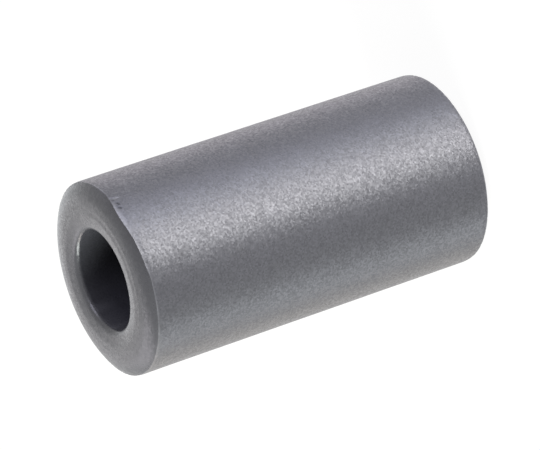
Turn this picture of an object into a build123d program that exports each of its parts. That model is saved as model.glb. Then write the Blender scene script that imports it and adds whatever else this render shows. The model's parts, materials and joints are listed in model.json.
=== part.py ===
"""Ferrite sleeve core for round cable, pressed and sintered in one piece.

The sleeve stands on one flat end face. Its bore runs along +Z, and the origin
is the centre of the lower end face. All lengths are in millimetres.
"""
import os

from build123d import *

# Driving dimensions
barrel_dia = 14.3
bore_dia = 7.35
length = 28.6

# Both ends are pressed with the same punch form, worked out from the end face inwards
crown_depth = 0.59  # how far the crease lies below the end face
punch_ledge = 0.06  # flat step that the punch's rim leaves beside the crease
land_outer_dia = 10.8  # the flat ring that the sleeve stands on
land_inner_dia = 9.4
dish_depth = 0.07  # the ring inside the land falls this far towards the bore
mouth_round = 0.5  # radius that leads a cable into the bore

# Values that follow from the driving dimensions
half_length = length / 2
barrel_r = barrel_dia / 2
bore_r = bore_dia / 2
land_outer_r = land_outer_dia / 2
land_inner_r = land_inner_dia / 2
mid_section = Plane.XZ.shift_origin((0, 0, half_length))


def outline_of_one_end():
    """Half of the wall's section: from mid-length on the bore, round the end, to mid-length outside."""
    face = -half_length
    dish = face + dish_depth
    crease = face + crown_depth
    Polyline((barrel_r, 0), (bore_r, 0), (bore_r, dish + mouth_round))
    RadiusArc((bore_r, dish + mouth_round), (bore_r + mouth_round, dish), mouth_round)
    Polyline((bore_r + mouth_round, dish), (land_inner_r, face), (land_outer_r, face))
    TangentArc((land_outer_r, face), (barrel_r - punch_ledge, crease), tangent=(1, 0))
    Polyline((barrel_r - punch_ledge, crease), (barrel_r, crease), (barrel_r, 0))


with BuildPart() as ferrite_sleeve:
    with BuildSketch(mid_section):
        with BuildLine():
            outline_of_one_end()
        make_face()
        mirror(about=Plane.XZ)
    revolve(axis=Axis.Z)

ferrite_sleeve.part.label = "ferrite_sleeve"

os.makedirs("parts", exist_ok=True)
export_step(ferrite_sleeve.part, "parts/ferrite_sleeve.step")

size = ferrite_sleeve.part.bounding_box().size
print(f"ferrite_sleeve {size.X:.2f} x {size.Y:.2f} x {size.Z:.2f} mm, {ferrite_sleeve.part.volume:.1f} mm3")
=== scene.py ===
# %% [markdown]
# A ferrite sleeve core, dressed for the camera.
#
# The real object is one thick tube of sintered ferrite. A cable runs through its bore, and the
# ferrite turns radio noise on the cable into a little heat. Nothing on it moves, so this lesson
# is about one surface: how a pressed and fired ceramic looks, and how light shows its form.
# The sleeve stands on one end here, and the camera is rolled, so that it lies as in the photograph.

# %% Load the frame
import json
import math
import random

import bmesh
import bpy
from mathutils import Matrix, Vector, noise


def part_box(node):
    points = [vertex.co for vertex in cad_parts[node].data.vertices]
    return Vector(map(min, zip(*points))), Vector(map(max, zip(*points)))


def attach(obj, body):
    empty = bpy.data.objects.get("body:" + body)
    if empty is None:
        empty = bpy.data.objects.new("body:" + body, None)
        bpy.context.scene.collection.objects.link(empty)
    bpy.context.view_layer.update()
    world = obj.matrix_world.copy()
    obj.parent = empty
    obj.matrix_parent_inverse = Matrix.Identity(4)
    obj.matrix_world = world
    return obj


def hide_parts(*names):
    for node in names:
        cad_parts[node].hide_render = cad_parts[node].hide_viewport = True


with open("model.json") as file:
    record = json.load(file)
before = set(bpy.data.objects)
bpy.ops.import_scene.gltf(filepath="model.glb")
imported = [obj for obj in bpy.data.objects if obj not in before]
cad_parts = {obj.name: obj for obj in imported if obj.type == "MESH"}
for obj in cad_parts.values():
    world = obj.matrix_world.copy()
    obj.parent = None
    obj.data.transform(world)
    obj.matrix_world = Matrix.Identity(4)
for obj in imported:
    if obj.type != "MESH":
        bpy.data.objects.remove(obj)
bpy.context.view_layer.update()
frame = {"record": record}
MM = 0.001

# %% [markdown]
# The sizes come from the frame: the node's box gives the barrel and the length, and the mounts
# give the bore and the straight walls. So the dressed sleeve can't drift away from the solid.
# The few sizes that no mount states are repeated here, as the construction has them.

# %% Sizes
low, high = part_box("ferrite_sleeve")
mounts = {m["name"]: m for m in frame["record"]["mounts"]}
BARREL_R = (high.x - low.x) / 2
LENGTH = high.z - low.z
BORE_R = mounts["bore"]["dims"]["r_mm"] * MM
CROWN_DEPTH = (LENGTH - mounts["barrel"]["dims"]["length_mm"] * MM) / 2
MOUTH_DEPTH = (LENGTH - mounts["bore"]["dims"]["length_mm"] * MM) / 2
DISH_DEPTH = 0.07 * MM
MOUTH_ROUND = MOUTH_DEPTH - DISH_DEPTH
LAND_OUTER_R = 5.4 * MM
PUNCH_LEDGE = 0.06 * MM
print(f"barrel {2 * BARREL_R / MM:.2f}, bore {2 * BORE_R / MM:.2f}, length {LENGTH / MM:.2f} mm")

# %% [markdown]
# The camera. A product photograph like this one is taken from well back with a long lens, which
# is why the two long edges of the barrel stay almost parallel. The bore's axis is +Z here, so
# looking down on the end face from 26 degrees above the floor shows the face as the same thin
# ellipse, and rolling the camera lays the sleeve over as in the photograph.

# %% Camera
CAMERA_HEIGHT = math.radians(26.11)
CAMERA_ROLL = math.radians(108.72)
CAMERA_DISTANCE = 42.08 * BARREL_R
SLIDE_RIGHT = 0.0333 * BARREL_R
SLIDE_UP = 0.0220 * BARREL_R
CAMERA_LENS_MM = 280.1
SENSOR_MM = 36

middle = Vector((0, 0, LENGTH / 2))
level = Vector((1, 0, 0))
to_camera = Vector((0, -math.cos(CAMERA_HEIGHT), math.sin(CAMERA_HEIGHT)))
upward = to_camera.cross(level)
picture_right = math.cos(CAMERA_ROLL) * level - math.sin(CAMERA_ROLL) * upward
picture_up = math.sin(CAMERA_ROLL) * level + math.cos(CAMERA_ROLL) * upward

camera = bpy.data.objects.new("camera", bpy.data.cameras.new("camera"))
camera.data.lens = CAMERA_LENS_MM
camera.data.sensor_width = SENSOR_MM
camera.data.clip_start = 0.01
camera.data.clip_end = 10
place = middle + CAMERA_DISTANCE * to_camera - SLIDE_RIGHT * picture_right - SLIDE_UP * picture_up
turn = Matrix((picture_right, picture_up, to_camera)).transposed()
camera.matrix_world = Matrix.Translation(place) @ turn.to_4x4()
bpy.context.scene.collection.objects.link(camera)
bpy.context.scene.camera = camera
print(f"camera {CAMERA_DISTANCE / MM:.0f} mm away")

# %% [markdown]
# The sleeve's wall in section. Powder is pressed in a die between two punches, and the punches'
# shape is what the ends show: a flat ring, a crown that falls away to a crisp crease at the
# barrel, a shallow dish and a rounded mouth at the bore. One half of that outline is drawn as a
# wire: a single vertex is pushed along for the straight stretches, and spun for the arcs.

# %% Tools for drawing a wire
def draw_line(bm, vertex, x, z, steps):
    """Extrudes the wire's last vertex in equal steps to the point x, z and returns the new end."""
    start = vertex.co.copy()
    for step in range(1, steps + 1):
        grown = bmesh.ops.extrude_vert_indiv(bm, verts=[vertex])
        vertex = grown["verts"][0]
        vertex.co = start.lerp(Vector((x, 0, z)), step / steps)
    return vertex


def draw_arc(bm, vertex, centre_x, centre_z, angle, steps):
    """Spins the wire's last vertex about a centre in the section's plane and returns the new end."""
    spun = bmesh.ops.spin(
        bm, geom=[vertex], cent=(centre_x, 0, centre_z), axis=(0, 1, 0), angle=angle,
        steps=steps, use_merge=False, use_duplicate=False)
    return [v for v in spun["geom_last"] if isinstance(v, bmesh.types.BMVert)][0]


# %% [markdown]
# The wire starts on the bore at mid-length. It runs over the mouth, the dish, the flat ring, the
# crown and the punch's narrow ledge to the crease, and ends on the barrel at mid-length. The dish
# is an arc that leaves the flat ring without a kink. Steps are fine where the outline turns,
# because rings, chips and wear are shaped there later.

# %% Half of the section
BORE_STEPS, MOUTH_STEPS, DISH_STEPS, LAND_STEPS = 8, 8, 8, 12
CROWN_STEPS, LEDGE_STEPS, CREASE_STEPS, BARREL_STEPS = 28, 1, 8, 18
CREASE_ZONE = 0.8 * MM
DISH_TILT = math.radians(12.4)

crown_run = BARREL_R - PUNCH_LEDGE - LAND_OUTER_R
crown_radius = (crown_run ** 2 + CROWN_DEPTH ** 2) / (2 * CROWN_DEPTH)
crown_angle = math.asin(crown_run / crown_radius)
dish_depth = MOUTH_DEPTH - MOUTH_ROUND * math.cos(DISH_TILT)
dish_radius = dish_depth / (1 - math.cos(DISH_TILT))
land_inner_r = BORE_R + MOUTH_ROUND + (dish_radius - MOUTH_ROUND) * math.sin(DISH_TILT)
mouth_angle = math.pi / 2 - DISH_TILT

wall = bmesh.new()
end = wall.verts.new((BORE_R, 0, LENGTH / 2))
end = draw_line(wall, end, BORE_R, LENGTH - MOUTH_DEPTH, BORE_STEPS)
end = draw_arc(wall, end, BORE_R + MOUTH_ROUND, LENGTH - MOUTH_DEPTH, mouth_angle, MOUTH_STEPS)
end = draw_arc(wall, end, land_inner_r, LENGTH - dish_radius, DISH_TILT, DISH_STEPS)
end = draw_line(wall, end, LAND_OUTER_R, LENGTH, LAND_STEPS)
end = draw_arc(wall, end, LAND_OUTER_R, LENGTH - crown_radius, crown_angle, CROWN_STEPS)
end = draw_line(wall, end, BARREL_R, LENGTH - CROWN_DEPTH, LEDGE_STEPS)
end = draw_line(wall, end, BARREL_R, LENGTH - CROWN_DEPTH - CREASE_ZONE, CREASE_STEPS)
end = draw_line(wall, end, BARREL_R, LENGTH / 2, BARREL_STEPS)
print(f"half section: {len(wall.verts)} points, crown radius {crown_radius / MM:.2f} mm")

# %% [markdown]
# Both ends are pressed alike, so the wire is mirrored about mid-length. It could then be spun all
# the way round, but the time that a spin takes grows with the square of its steps. A quarter turn
# that is mirrored twice gives the same tube far sooner, and the mirrors merge what meets.

# %% Mirror and spin
QUARTER_STEPS = 120
MERGE = 0.0005 * MM


def add_mirror_image(bm, axis, plane=Matrix.Identity(4)):
    """Adds the mirror image of everything in the mesh and merges the points that meet."""
    everything = bm.verts[:] + bm.edges[:] + bm.faces[:]
    bmesh.ops.mirror(bm, geom=everything, matrix=plane, merge_dist=MERGE, axis=axis)
    bmesh.ops.remove_doubles(bm, verts=bm.verts[:], dist=MERGE)


add_mirror_image(wall, "Z", Matrix.Translation((0, 0, -LENGTH / 2)))
bmesh.ops.spin(wall, geom=wall.verts[:] + wall.edges[:], cent=(0, 0, 0), axis=(0, 0, 1),
               angle=math.pi / 2, steps=QUARTER_STEPS, use_merge=False, use_duplicate=False)
add_mirror_image(wall, "X")
add_mirror_image(wall, "Y")
bmesh.ops.recalc_face_normals(wall, faces=wall.faces[:])
print(f"sleeve: {len(wall.faces)} faces, {2 * len(wall.faces)} triangles")

# %% [markdown]
# Four small functions shape the surface from here on. Each flaw below is a distance moved by each
# point, and that distance fades out smoothly, because a press, a kiln and a tumbling drum leave
# no hard steps behind at this size.

# %% Tools for shaping
def falloff(distance, reach):
    """1 at no distance, falling smoothly to 0 at reach."""
    share = min(1, distance / reach)
    return (1 - share * share) ** 2


def rise(x, start, end):
    """0 up to start, rising smoothly to 1 at end."""
    share = min(1, max(0, (x - start) / (end - start)))
    return share * share * (3 - 2 * share)


def between(table, x):
    """The value at x on the straight lines between the table's points, and 0 outside them."""
    for (x0, y0), (x1, y1) in zip(table, table[1:]):
        if x0 <= x < x1:
            return y0 + (y1 - y0) * (x - x0) / (x1 - x0)
    return 0


def polar(point):
    """A point's radius and its angle about the bore in degrees, from 0 to 360."""
    return math.hypot(point.x, point.y), math.degrees(math.atan2(point.y, point.x)) % 360


# %% [markdown]
# What the press and the kiln leave behind. The punch has faint turning rings on its face, which
# the powder copies. The pressed face is also softer than the solid's: it falls a little further
# towards the bore, and the flat ring's shoulder is eased. Powder creeps up between punch and die,
# and leaves a thin fin on part of the rim that tumbling didn't take off. The barrel draws in just
# before each crease, and firing pulls it very slightly out of true. Only the fin adds material,
# and it stays below the end face. So all of this stays inside the solid's box, because the sizes
# that matter are the solid's. The fin is read off the photograph as pairs: an angle in degrees
# and a height in millimetres.

# %% Rings, dish, fin and waviness
RING_RADII = [r * MM for r in (4.62, 5.15, 5.75)]
RING_WIDTH = 0.32 * MM
RING_DEPTH = 0.013 * MM
RING_PATCHES = 4 * MM
DISH_SAG = 0.040 * MM
DISH_SPAN = (4.2 * MM, 5.0 * MM)
SHOULDER_SAG = 0.025 * MM
SHOULDER_SPAN = (5.0 * MM, 5.7 * MM)
SHOULDER_FADE = (5.7 * MM, 7.0 * MM)
FIN = [(263, 0), (270, 0.10), (280, 0.13), (288, 0.18), (293, 0.25), (300, 0.31),
       (306, 0.28), (313, 0.15), (322, 0)]
FIN_RAGGED = 0.15
FIN_WIDTH = 0.15 * MM
FIN_BAND = 0.06 * MM
LEDGE_SHARE, CROWN_SHARE = 0.8, 0.2
SOFT_REACH = 0.34 * MM
SOFT_DEPTH = 0.035 * MM
WAVE_LENGTH = 5 * MM
WAVE_DEPTH = 0.012 * MM

for vertex in wall.verts:
    radius, angle = polar(vertex.co)
    side = 1 if vertex.co.z > LENGTH / 2 else -1
    depth = LENGTH - vertex.co.z if side > 0 else vertex.co.z
    if depth < CROWN_DEPTH - MERGE and radius > BORE_R + MOUTH_ROUND:
        cut = 0
        for ring in RING_RADII:
            # Each ring reads a slice of the noise of its own, so that each fades elsewhere
            spot = Vector((vertex.co.x, vertex.co.y, ring * 9))
            fade = 0.5 + noise.noise(spot / RING_PATCHES)
            cut += max(0, fade) * falloff(abs(radius - ring), RING_WIDTH)
        vertex.co.z -= side * RING_DEPTH * cut
    if depth < MOUTH_DEPTH and radius < BARREL_R - PUNCH_LEDGE:
        sink = DISH_SAG * (1 - rise(radius, *DISH_SPAN)) * (1 - depth / MOUTH_DEPTH)
        sink += SHOULDER_SAG * rise(radius, *SHOULDER_SPAN) * (1 - rise(radius, *SHOULDER_FADE))
        vertex.co.z -= side * sink
    if side > 0 and abs(depth - CROWN_DEPTH) < FIN_BAND and radius > BARREL_R - FIN_WIDTH:
        height = between(FIN, angle) * MM
        height *= 1 + FIN_RAGGED * noise.noise(Vector((angle * 1.7, 0, 0)))
        if radius < BARREL_R - PUNCH_LEDGE - MERGE:
            height *= CROWN_SHARE
        elif radius < BARREL_R - MERGE:
            height *= LEDGE_SHARE
        vertex.co.z += height
    if radius > BARREL_R - MERGE:
        sway = WAVE_DEPTH * min(0, noise.noise(vertex.co / WAVE_LENGTH) - 0.2)
        sway -= SOFT_DEPTH * max(0, 1 - (depth - CROWN_DEPTH) / SOFT_REACH) ** 2
        vertex.co.x *= 1 + sway / radius
        vertex.co.y *= 1 + sway / radius
print(f"{len(RING_RADII)} rings a face, fin up to {max(height for angle, height in FIN)} mm high")

# %% [markdown]
# Chips. Sleeves knock together in the drum that tumbles them, and the crease and the bore's mouth
# lose tiny flakes. A flake leaves a shallow hollow, deepest in its middle, so the points near a
# chip's centre are pushed into the material. Their share is also kept in an attribute, which the
# material reads, because broken and rubbed ferrite is paler than its fired skin. A band at the
# bore's mouth and the fin's edge near 304 degrees get the same pale colour, partly as wear and
# partly as a painted highlight on edges that catch the light. The pits along the fin are deeper,
# and there the attribute goes below zero, which darkens them as painted shade. The scratch and
# the pits are read off the photograph, each as an angle in degrees, a depth below the upper end
# face and a radius in millimetres. The chips along the creases are a seeded draw.

# %% Chips, rubbed edges, a painted highlight and painted shade in the pits
CHIPS_PER_CREASE = 40
CHIP_RADII = (0.10 * MM, 0.17 * MM)
CHIP_STEEPNESS = 0.15
SCRATCH = [(316.2, 0.72, 0.12), (316.1, 0.84, 0.12), (316.0, 0.96, 0.12), (315.9, 1.08, 0.11),
           (315.8, 1.20, 0.10)]
PITS = [(316.5, 0.60, 0.14), (315.3, 0.64, 0.12), (311.8, 0.80, 0.14), (310.6, 0.86, 0.12),
        (309.4, 0.62, 0.13), (307.8, 0.80, 0.14), (308.4, 0.68, 0.12), (305.4, 0.52, 0.12),
        (301.5, 0.46, 0.11), (296.8, 0.48, 0.12), (291.0, 0.50, 0.12), (286.2, 0.56, 0.12),
        (283.5, 0.60, 0.12), (278.0, 0.58, 0.11), (271.5, 0.62, 0.11)]
PIT_STEEPNESS = 0.35
WORN_BAND = 0.5 * MM
WORN_DEPTH = 1.2 * MM
RUB_REACH = 0.10 * MM
RUB_PATCHES = 1.4 * MM
# The fin's edge and a band at the bore's mouth are paled partly as wear and partly as a painted
# highlight
FIN_WEAR_AND_HIGHLIGHT_ANGLE, FIN_WEAR_AND_HIGHLIGHT_SPAN = 304, 12
MOUTH_WEAR_AND_HIGHLIGHT = 0.09 * MM
MOUTH_WEAR_AND_HIGHLIGHT_DEPTH = MOUTH_DEPTH - 0.05 * MM
MOUTH_WEAR_AND_HIGHLIGHT_ANGLE, MOUTH_WEAR_AND_HIGHLIGHT_SPAN = 138, 60
MOUTH_WEAR_AND_HIGHLIGHT_PATCHES = 0.9 * MM


def on_barrel(angle, depth):
    """The point of the barrel at an angle in degrees and a depth below the upper end face."""
    a = math.radians(angle)
    return Vector((BARREL_R * math.cos(a), BARREL_R * math.sin(a), LENGTH - depth))


dice = random.Random(5)
chips = []
for depth in (CROWN_DEPTH, LENGTH - CROWN_DEPTH):
    for number in range(CHIPS_PER_CREASE):
        angle = 360 * (number + dice.random()) / CHIPS_PER_CREASE
        chips.append((on_barrel(angle, depth), dice.uniform(*CHIP_RADII), CHIP_STEEPNESS))
chips += [(on_barrel(angle, depth * MM), size * MM, PIT_STEEPNESS) for angle, depth, size in SCRATCH]

layer = wall.verts.layers.float.new("wear_and_painted_light")
near_crease = []
for vertex in wall.verts:
    radius, angle = polar(vertex.co)
    depth = min(vertex.co.z, LENGTH - vertex.co.z)
    if radius < BORE_R + MOUTH_ROUND:
        # A pale band at the mouth, only on the side where its edge catches the light: partly wear,
        # partly painted highlight
        from_edge = abs(depth - MOUTH_WEAR_AND_HIGHLIGHT_DEPTH)
        share = falloff(from_edge, MOUTH_WEAR_AND_HIGHLIGHT) + 0.2 * falloff(from_edge, 3 * MOUTH_WEAR_AND_HIGHLIGHT)
        share = min(1, share) * falloff(abs(angle - MOUTH_WEAR_AND_HIGHLIGHT_ANGLE), MOUTH_WEAR_AND_HIGHLIGHT_SPAN)
        vertex[layer] = share * (0.8 + noise.noise(vertex.co / MOUTH_WEAR_AND_HIGHLIGHT_PATCHES))
    if radius > BARREL_R - WORN_BAND and depth < CROWN_DEPTH + WORN_DEPTH:
        near_crease.append(vertex)
        patchy = 0.6 + 0.9 * noise.noise(vertex.co / RUB_PATCHES)
        # Near the fin's peak the crease is paled further: partly wear, partly a painted highlight on
        # the fin's lit edge
        patchy += 0.8 * falloff(abs(angle - FIN_WEAR_AND_HIGHLIGHT_ANGLE), FIN_WEAR_AND_HIGHLIGHT_SPAN)
        from_edge = math.hypot(depth - CROWN_DEPTH + between(FIN, angle) * MM, radius - BARREL_R)
        vertex[layer] = max(0, patchy) * falloff(from_edge, RUB_REACH)
for centre, size, steepness in chips:
    inward = Vector((-centre.x, -centre.y, 0)).normalized()
    for vertex in near_crease:
        gap = (vertex.co - centre).length
        if gap < size:
            share = falloff(gap, size)
            vertex.co += inward * size * steepness * share
            vertex[layer] = max(vertex[layer], 0.8 * share)
# The pits' hollows are real geometry, and their colour is also darkened as painted shade, through a
# value below zero in the attribute
for angle, depth, size in PITS:
    centre = on_barrel(angle, depth * MM)
    inward = Vector((-centre.x, -centre.y, 0)).normalized()
    for vertex in near_crease:
        share = falloff((vertex.co - centre).length, size * MM)
        vertex.co += inward * size * MM * PIT_STEEPNESS * share
        vertex[layer] = vertex[layer] * (1 - share) - share
print(f"{len(chips)} chips and {len(PITS)} pits over {len(near_crease)} points")

# %% [markdown]
# The finished mesh becomes one object, because the real sleeve is one piece. Shading is smooth,
# except where two facets meet at more than 28 degrees: that keeps the crease crisp.

# %% Sleeve object
SHARP_FROM = math.radians(28)

mesh = bpy.data.meshes.new("sintered_sleeve")
wall.to_mesh(mesh)
wall.free()
mesh.shade_smooth()
mesh.set_sharp_from_angle(angle=SHARP_FROM)
sleeve = bpy.data.objects.new("sintered_sleeve", mesh)
bpy.context.scene.collection.objects.link(sleeve)
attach(sleeve, "root")
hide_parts("ferrite_sleeve")
print(f"{sleeve.name}: {len(mesh.vertices)} points")

# %% [markdown]
# Two helpers for every material, the floor and the room. Colours are written as they look on a
# screen and turned into linear light in one place, and one function adds a node, sets it and
# links it, so each line of a material below reads as one step.

# %% Material tools
def srgb(hex_colour):
    """Linear colour, with alpha, of an sRGB hex value such as "4a4a50"."""
    parts = [int(hex_colour[i:i + 2], 16) / 255 for i in (0, 2, 4)]
    return [p / 12.92 if p <= 0.04045 else ((p + 0.055) / 1.055) ** 2.4 for p in parts] + [1]


def add_node(tree, kind, settings=None, links=None):
    """Adds a node to a tree, sets its properties and inputs, and links the given outputs to it."""
    node = tree.nodes.new(kind)
    for name, value in (settings or {}).items():
        if isinstance(name, str) and hasattr(node, name):
            setattr(node, name, value)
        else:
            node.inputs[name].default_value = value
    for name, output in (links or {}).items():
        tree.links.new(output, node.inputs[name])
    return node


# %% [markdown]
# Ferrite, pressed and sintered, as fired. It is a dark grey ceramic of fused crystals a hundredth
# of a millimetre across. Seen from this far each crystal is too small to make out, but clusters
# of them catch the light together, and that is the fine sparkle on the barrel. So the surface is
# divided into the cells of a Voronoi pattern, drawn coarser than the crystals, at the size of
# the clusters that a camera can make out. In each cell the normal is tipped a little at random.
# A second and larger pattern is laid over the first, because a single one looks like a mosaic.

# %% Sintered ferrite: grain
FERRITE_IOR = 1.65
GRAIN_SIZES = (0.12 * MM, 0.24 * MM)
GRAIN_TILT = (0.11, 0.04)
FACE_GRAIN = 0.5

ferrite = bpy.data.materials.new("sintered_ferrite")
ferrite.use_nodes = True
tree = ferrite.node_tree
shader = tree.nodes["Principled BSDF"]
shader.inputs["IOR"].default_value = FERRITE_IOR
where = add_node(tree, "ShaderNodeTexCoord").outputs["Object"]
flat = add_node(tree, "ShaderNodeVectorMath", {"operation": "MULTIPLY", 1: (1, 1, 0)}, {0: where})
radius = add_node(tree, "ShaderNodeVectorMath", {"operation": "LENGTH"},
                  {0: flat.outputs[0]}).outputs["Value"]
# 0 on the bore's wall and 1 outside it
outside = add_node(tree, "ShaderNodeMapRange",
                   {"From Min": BORE_R + 0.02 * MM, "From Max": BORE_R + 0.10 * MM},
                   {"Value": radius}).outputs[0]
# 0 on the pressed end faces and 1 on the barrel
fired = add_node(tree, "ShaderNodeMapRange",
                 {"From Min": BARREL_R - 0.10 * MM, "From Max": BARREL_R - 0.02 * MM},
                 {"Value": radius}).outputs[0]
grain_share = add_node(tree, "ShaderNodeMapRange", {"To Min": FACE_GRAIN, "To Max": 1.0},
                       {"Value": fired}).outputs[0]
normal = add_node(tree, "ShaderNodeNewGeometry").outputs["Normal"]
for size, tilt in zip(GRAIN_SIZES, GRAIN_TILT):
    cells = add_node(tree, "ShaderNodeTexVoronoi", {"feature": "F1", "Scale": 1 / size},
                     {"Vector": where})
    centred = add_node(tree, "ShaderNodeVectorMath", {"operation": "SUBTRACT", 1: (0.5, 0.5, 0.5)},
                       {0: cells.outputs["Color"]})
    amount = add_node(tree, "ShaderNodeMath", {"operation": "MULTIPLY", 1: tilt}, {0: grain_share})
    scaled = add_node(tree, "ShaderNodeVectorMath", {"operation": "SCALE"},
                      {0: centred.outputs[0], "Scale": amount.outputs[0]})
    tipped = add_node(tree, "ShaderNodeVectorMath", {"operation": "ADD"},
                      {0: normal, 1: scaled.outputs[0]})
    normal = add_node(tree, "ShaderNodeVectorMath", {"operation": "NORMALIZE"},
                      {0: tipped.outputs[0]}).outputs[0]
tree.links.new(normal, shader.inputs["Normal"])
print(f"{ferrite.name}: grain of {len(GRAIN_SIZES)} sizes")

# %% [markdown]
# The rest of the ferrite's look. Some clusters are smooth and bare and others are dull, so each
# cell of the finer pattern has its own shade, gloss and roughness, and the smooth ones are the
# bright ones: that is what makes the highlight glitter while the shaded side stays even. The
# punch leaves the end faces smoother than the die leaves the barrel. The bore's wall slid along
# the core rod, is never tumbled, and is the dullest, and its colour is painted a tenth lighter as
# painted light on that dark wall. Worn spots are paler, the band at the mouth and the fin's edge
# are paler partly as a painted highlight, and the pits are darkened as painted shade.

# %% Sintered ferrite: colour and gloss
SKIN_DARK, SKIN_LIGHT, WEAR_AND_HIGHLIGHT_COLOUR = "3e3e42", "4a4a4f", "7c7c80"
MOTTLE_SIZE = 1.6 * MM
SHADE_SPREAD = 0.23
ROUGHEST, SMOOTHEST = 0.49, 0.34
FACE_ROUGHNESS = 0.72
GLOSS = 0.5
BORE_PAINTED_LIGHT = 1.1
BORE_GLOSS = 0.3
PIT_PAINTED_SHADE = 0.1

shade = add_node(tree, "ShaderNodeTexVoronoi", {"feature": "F1", "Scale": 1 / GRAIN_SIZES[0]},
                 {"Vector": where}).outputs["Color"]
uneven = add_node(tree, "ShaderNodeMapRange", {"To Min": -SHADE_SPREAD, "To Max": SHADE_SPREAD},
                  {"Value": shade}).outputs[0]
spread = add_node(tree, "ShaderNodeMath", {"operation": "MULTIPLY_ADD", 2: 1.0},
                  {0: uneven, 1: grain_share}).outputs[0]
# The attribute carries wear, a painted highlight at the mouth and the fin, and painted shade in the
# pits
wear_and_painted_light = add_node(tree, "ShaderNodeAttribute", {"attribute_name": "wear_and_painted_light"}).outputs["Fac"]
# Painted shade: where the attribute is below zero, in the pits, colour and gloss are darkened down to a
# tenth
pit_painted_shade = add_node(tree, "ShaderNodeMapRange", {"From Min": -1.0, "From Max": 0.0, "To Min": PIT_PAINTED_SHADE},
                  {"Value": wear_and_painted_light}).outputs[0]
spread = add_node(tree, "ShaderNodeMath", {"operation": "MULTIPLY"}, {0: spread, 1: pit_painted_shade}).outputs[0]

# Painted light: the bore's wall gets a tenth more colour, standing in for light on that dark wall
painted_light_in_bore = add_node(tree, "ShaderNodeMapRange", {"To Min": BORE_PAINTED_LIGHT, "To Max": 1.0},
                {"Value": outside}).outputs[0]
level = add_node(tree, "ShaderNodeMath", {"operation": "MULTIPLY"}, {0: spread, 1: painted_light_in_bore}).outputs[0]
mottle = add_node(tree, "ShaderNodeTexNoise", {"Scale": 1 / MOTTLE_SIZE, "Detail": 3.0},
                  {"Vector": where}).outputs["Fac"]
skin = add_node(tree, "ShaderNodeMix",
                {"data_type": "RGBA", "A": srgb(SKIN_DARK), "B": srgb(SKIN_LIGHT)},
                {"Factor": mottle}).outputs["Result"]
skin = add_node(tree, "ShaderNodeVectorMath", {"operation": "SCALE"},
                {0: skin, "Scale": level}).outputs[0]
# The pale colour is wear on the chips and along the crease, and partly a painted highlight on the
# mouth's band and the fin's edge
colour = add_node(tree, "ShaderNodeMix", {"data_type": "RGBA", "B": srgb(WEAR_AND_HIGHLIGHT_COLOUR)},
                  {"Factor": wear_and_painted_light, "A": skin}).outputs["Result"]
tree.links.new(colour, shader.inputs["Base Color"])

smoothing = add_node(tree, "ShaderNodeMapRange", {"To Min": FACE_ROUGHNESS, "To Max": 1.0},
                     {"Value": fired}).outputs[0]
rough = add_node(tree, "ShaderNodeMapRange", {"To Min": ROUGHEST, "To Max": SMOOTHEST},
                 {"Value": shade}).outputs[0]
rough = add_node(tree, "ShaderNodeMath", {"operation": "MULTIPLY"}, {0: rough, 1: smoothing}).outputs[0]
tree.links.new(rough, shader.inputs["Roughness"])

bare = add_node(tree, "ShaderNodeMath", {"operation": "MAXIMUM"}, {0: outside, 1: wear_and_painted_light}).outputs[0]
gloss = add_node(tree, "ShaderNodeMapRange", {"To Min": GLOSS * BORE_GLOSS, "To Max": GLOSS},
                 {"Value": bare}).outputs[0]
gloss = add_node(tree, "ShaderNodeMath", {"operation": "MULTIPLY"}, {0: gloss, 1: spread}).outputs[0]
tree.links.new(gloss, shader.inputs["Specular IOR Level"])
mesh.materials.append(ferrite)
print(f"{ferrite.name}: {len(tree.nodes)} nodes")

# %% [markdown]
# The floor is plain white paper. Product photographs like this one are cut out to pure white, so
# the paper glows for the camera almost enough to be white by itself, and the light that falls on
# it adds the rest. Where the sleeve keeps that light off, its faint shadow stays. The paper sends
# no light back to the sleeve, because in the photograph the sleeve lies the other way about.

# %% Floor
FLOOR_HALF = 0.35
PAPER_GLOW = 0.93

floor_bm = bmesh.new()
bmesh.ops.create_grid(floor_bm, x_segments=1, y_segments=1, size=FLOOR_HALF)
floor_mesh = bpy.data.meshes.new("floor")
floor_bm.to_mesh(floor_mesh)
floor_bm.free()
floor = bpy.data.objects.new("floor", floor_mesh)
bpy.context.scene.collection.objects.link(floor)
floor.visible_diffuse = False
floor.visible_glossy = False
floor.visible_shadow = False
paper = bpy.data.materials.new("white_paper")
paper.use_nodes = True
paper.node_tree.nodes.clear()
matt = add_node(paper.node_tree, "ShaderNodeBsdfDiffuse", {"Color": srgb("6a6966")})
glow = add_node(paper.node_tree, "ShaderNodeEmission",
                {"Color": (1, 1, 1, 1), "Strength": PAPER_GLOW})
both = add_node(paper.node_tree, "ShaderNodeAddShader",
                links={0: matt.outputs[0], 1: glow.outputs[0]})
add_node(paper.node_tree, "ShaderNodeOutputMaterial", links={"Surface": both.outputs[0]})
floor_mesh.materials.append(paper)
print(f"floor {2 * FLOOR_HALF} m square")

# %% [markdown]
# Where the sleeve stands, no light reaches the paper. Because this paper lets light through from
# below, a black card under the foot does what the table does in the photograph: it keeps light
# from shining up the bore.

# %% Card under the foot
CARD_GAP = 0.05 * MM

card_bm = bmesh.new()
bmesh.ops.create_circle(card_bm, cap_ends=True, segments=64, radius=LAND_OUTER_R,
                        matrix=Matrix.Translation((0, 0, -CARD_GAP)))
card_mesh = bpy.data.meshes.new("card")
card_bm.to_mesh(card_mesh)
card_bm.free()
card = bpy.data.objects.new("card", card_mesh)
bpy.context.scene.collection.objects.link(card)
felt = bpy.data.materials.new("black_felt")
felt.use_nodes = True
felt_shader = felt.node_tree.nodes["Principled BSDF"]
felt_shader.inputs["Base Color"].default_value = srgb("101010")
felt_shader.inputs["Roughness"].default_value = 1.0
card_mesh.materials.append(felt)
print(f"card {2 * LAND_OUTER_R / MM:.1f} mm across")

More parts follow.
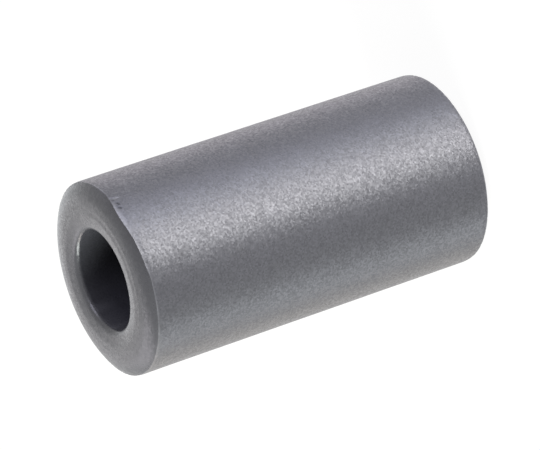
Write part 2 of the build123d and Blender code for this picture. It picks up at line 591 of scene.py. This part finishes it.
# %% [markdown]
# The room is white all round for the camera and in reflections, and dimmer as a light on matt
# surfaces, which leaves the shaping of the form to the lamps.

# %% World
ROOM_LIGHT = 0.2

world = bpy.data.worlds.new("white_room")
bpy.context.scene.world = world
world.use_nodes = True
sky = world.node_tree
sky.nodes.clear()
ray = add_node(sky, "ShaderNodeLightPath")
seen = add_node(sky, "ShaderNodeMath", {"operation": "MAXIMUM"},
                {0: ray.outputs["Is Camera Ray"], 1: ray.outputs["Is Glossy Ray"]})
seen = add_node(sky, "ShaderNodeMath", {"operation": "MAXIMUM"},
                {0: seen.outputs[0], 1: ray.outputs["Is Transmission Ray"]})
strength = add_node(sky, "ShaderNodeMapRange", {"To Min": ROOM_LIGHT, "To Max": 1.0},
                    {"Value": seen.outputs[0]})
light = add_node(sky, "ShaderNodeBackground", {"Color": (1, 1, 1, 1)},
                 {"Strength": strength.outputs[0]})
add_node(sky, "ShaderNodeOutputWorld", links={"Surface": light.outputs[0]})
print(f"room light {ROOM_LIGHT}")

# %% [markdown]
# The lamps are round soft boxes, all of one size, at one distance and turned to the sleeve's
# middle. A satin tube shows its surroundings: the broad highlight on the barrel, the dark stripe
# below it and the pale lower edge each tell where light comes from. How strong each lamp is was
# found by rendering it alone, and by weighing those pictures until their sum came close to the
# photograph. Several lamps sit below the row's floor, because the photograph's sleeve lies on
# its side, and its light comes from above it. Each line has a name, the direction as an azimuth
# and a height in degrees, the level of light and its colour.

# %% Lamps
LAMP_DISTANCE = 0.35
LAMP_DIAMETER = 0.20
LAMPS = [
    ("key_lamp", 285, -25, 2.14, "fcfcff"),
    ("key_left", 300, -25, 0.71, "fff1f7"),
    ("key_far", 315, -25, 0.75, "f2f7ff"),
    ("rim_left", 300, -10, 0.25, "dff6ff"),
    ("rim_lamp", 330, -10, 0.84, "dee1ff"),
    ("side_lamp", 330, 40, 0.78, "e7e6ff"),
    ("bounce_card", 180, 20, 3.30, "f9fffc"),
    ("bounce_far", 150, 5, 1.18, "fff3ed"),
    ("bounce_low", 180, -25, 0.47, "eff6ff"),
    ("back_low", 135, -25, 0.08, "ffe9c0"),
    ("back_rim", 45, -25, 0.15, "ffeefa"),
    ("back_lamp", 75, 5, 0.15, "f4fbff"),
    ("back_high", 90, 20, 0.11, "fff8fa"),
    ("top_lamp", 120, 40, 0.37, "fdf7ff"),
]


def add_lamp(name, azimuth, height, level_of_light, hex_colour):
    """Adds a round soft box at the given direction in degrees, lighting the sleeve at that level."""
    data = bpy.data.lights.new(name, "AREA")
    data.shape = "DISK"
    data.size = LAMP_DIAMETER
    data.energy = level_of_light * math.pi * LAMP_DISTANCE ** 2
    data.color = srgb(hex_colour)[:3]
    lamp = bpy.data.objects.new(name, data)
    a, h = math.radians(azimuth), math.radians(height)
    towards = Vector((math.cos(h) * math.cos(a), math.cos(h) * math.sin(a), math.sin(h)))
    lamp.location = middle + LAMP_DISTANCE * towards
    lamp.rotation_euler = towards.to_track_quat("Z", "Y").to_euler()
    lamp.visible_camera = False
    bpy.context.scene.collection.objects.link(lamp)


for settings in LAMPS:
    add_lamp(*settings)
print(f"{len(LAMPS)} lamps")

# %% [markdown]
# Colours are shown as they are written.

# %% Finish
bpy.context.scene.view_settings.view_transform = "Standard"
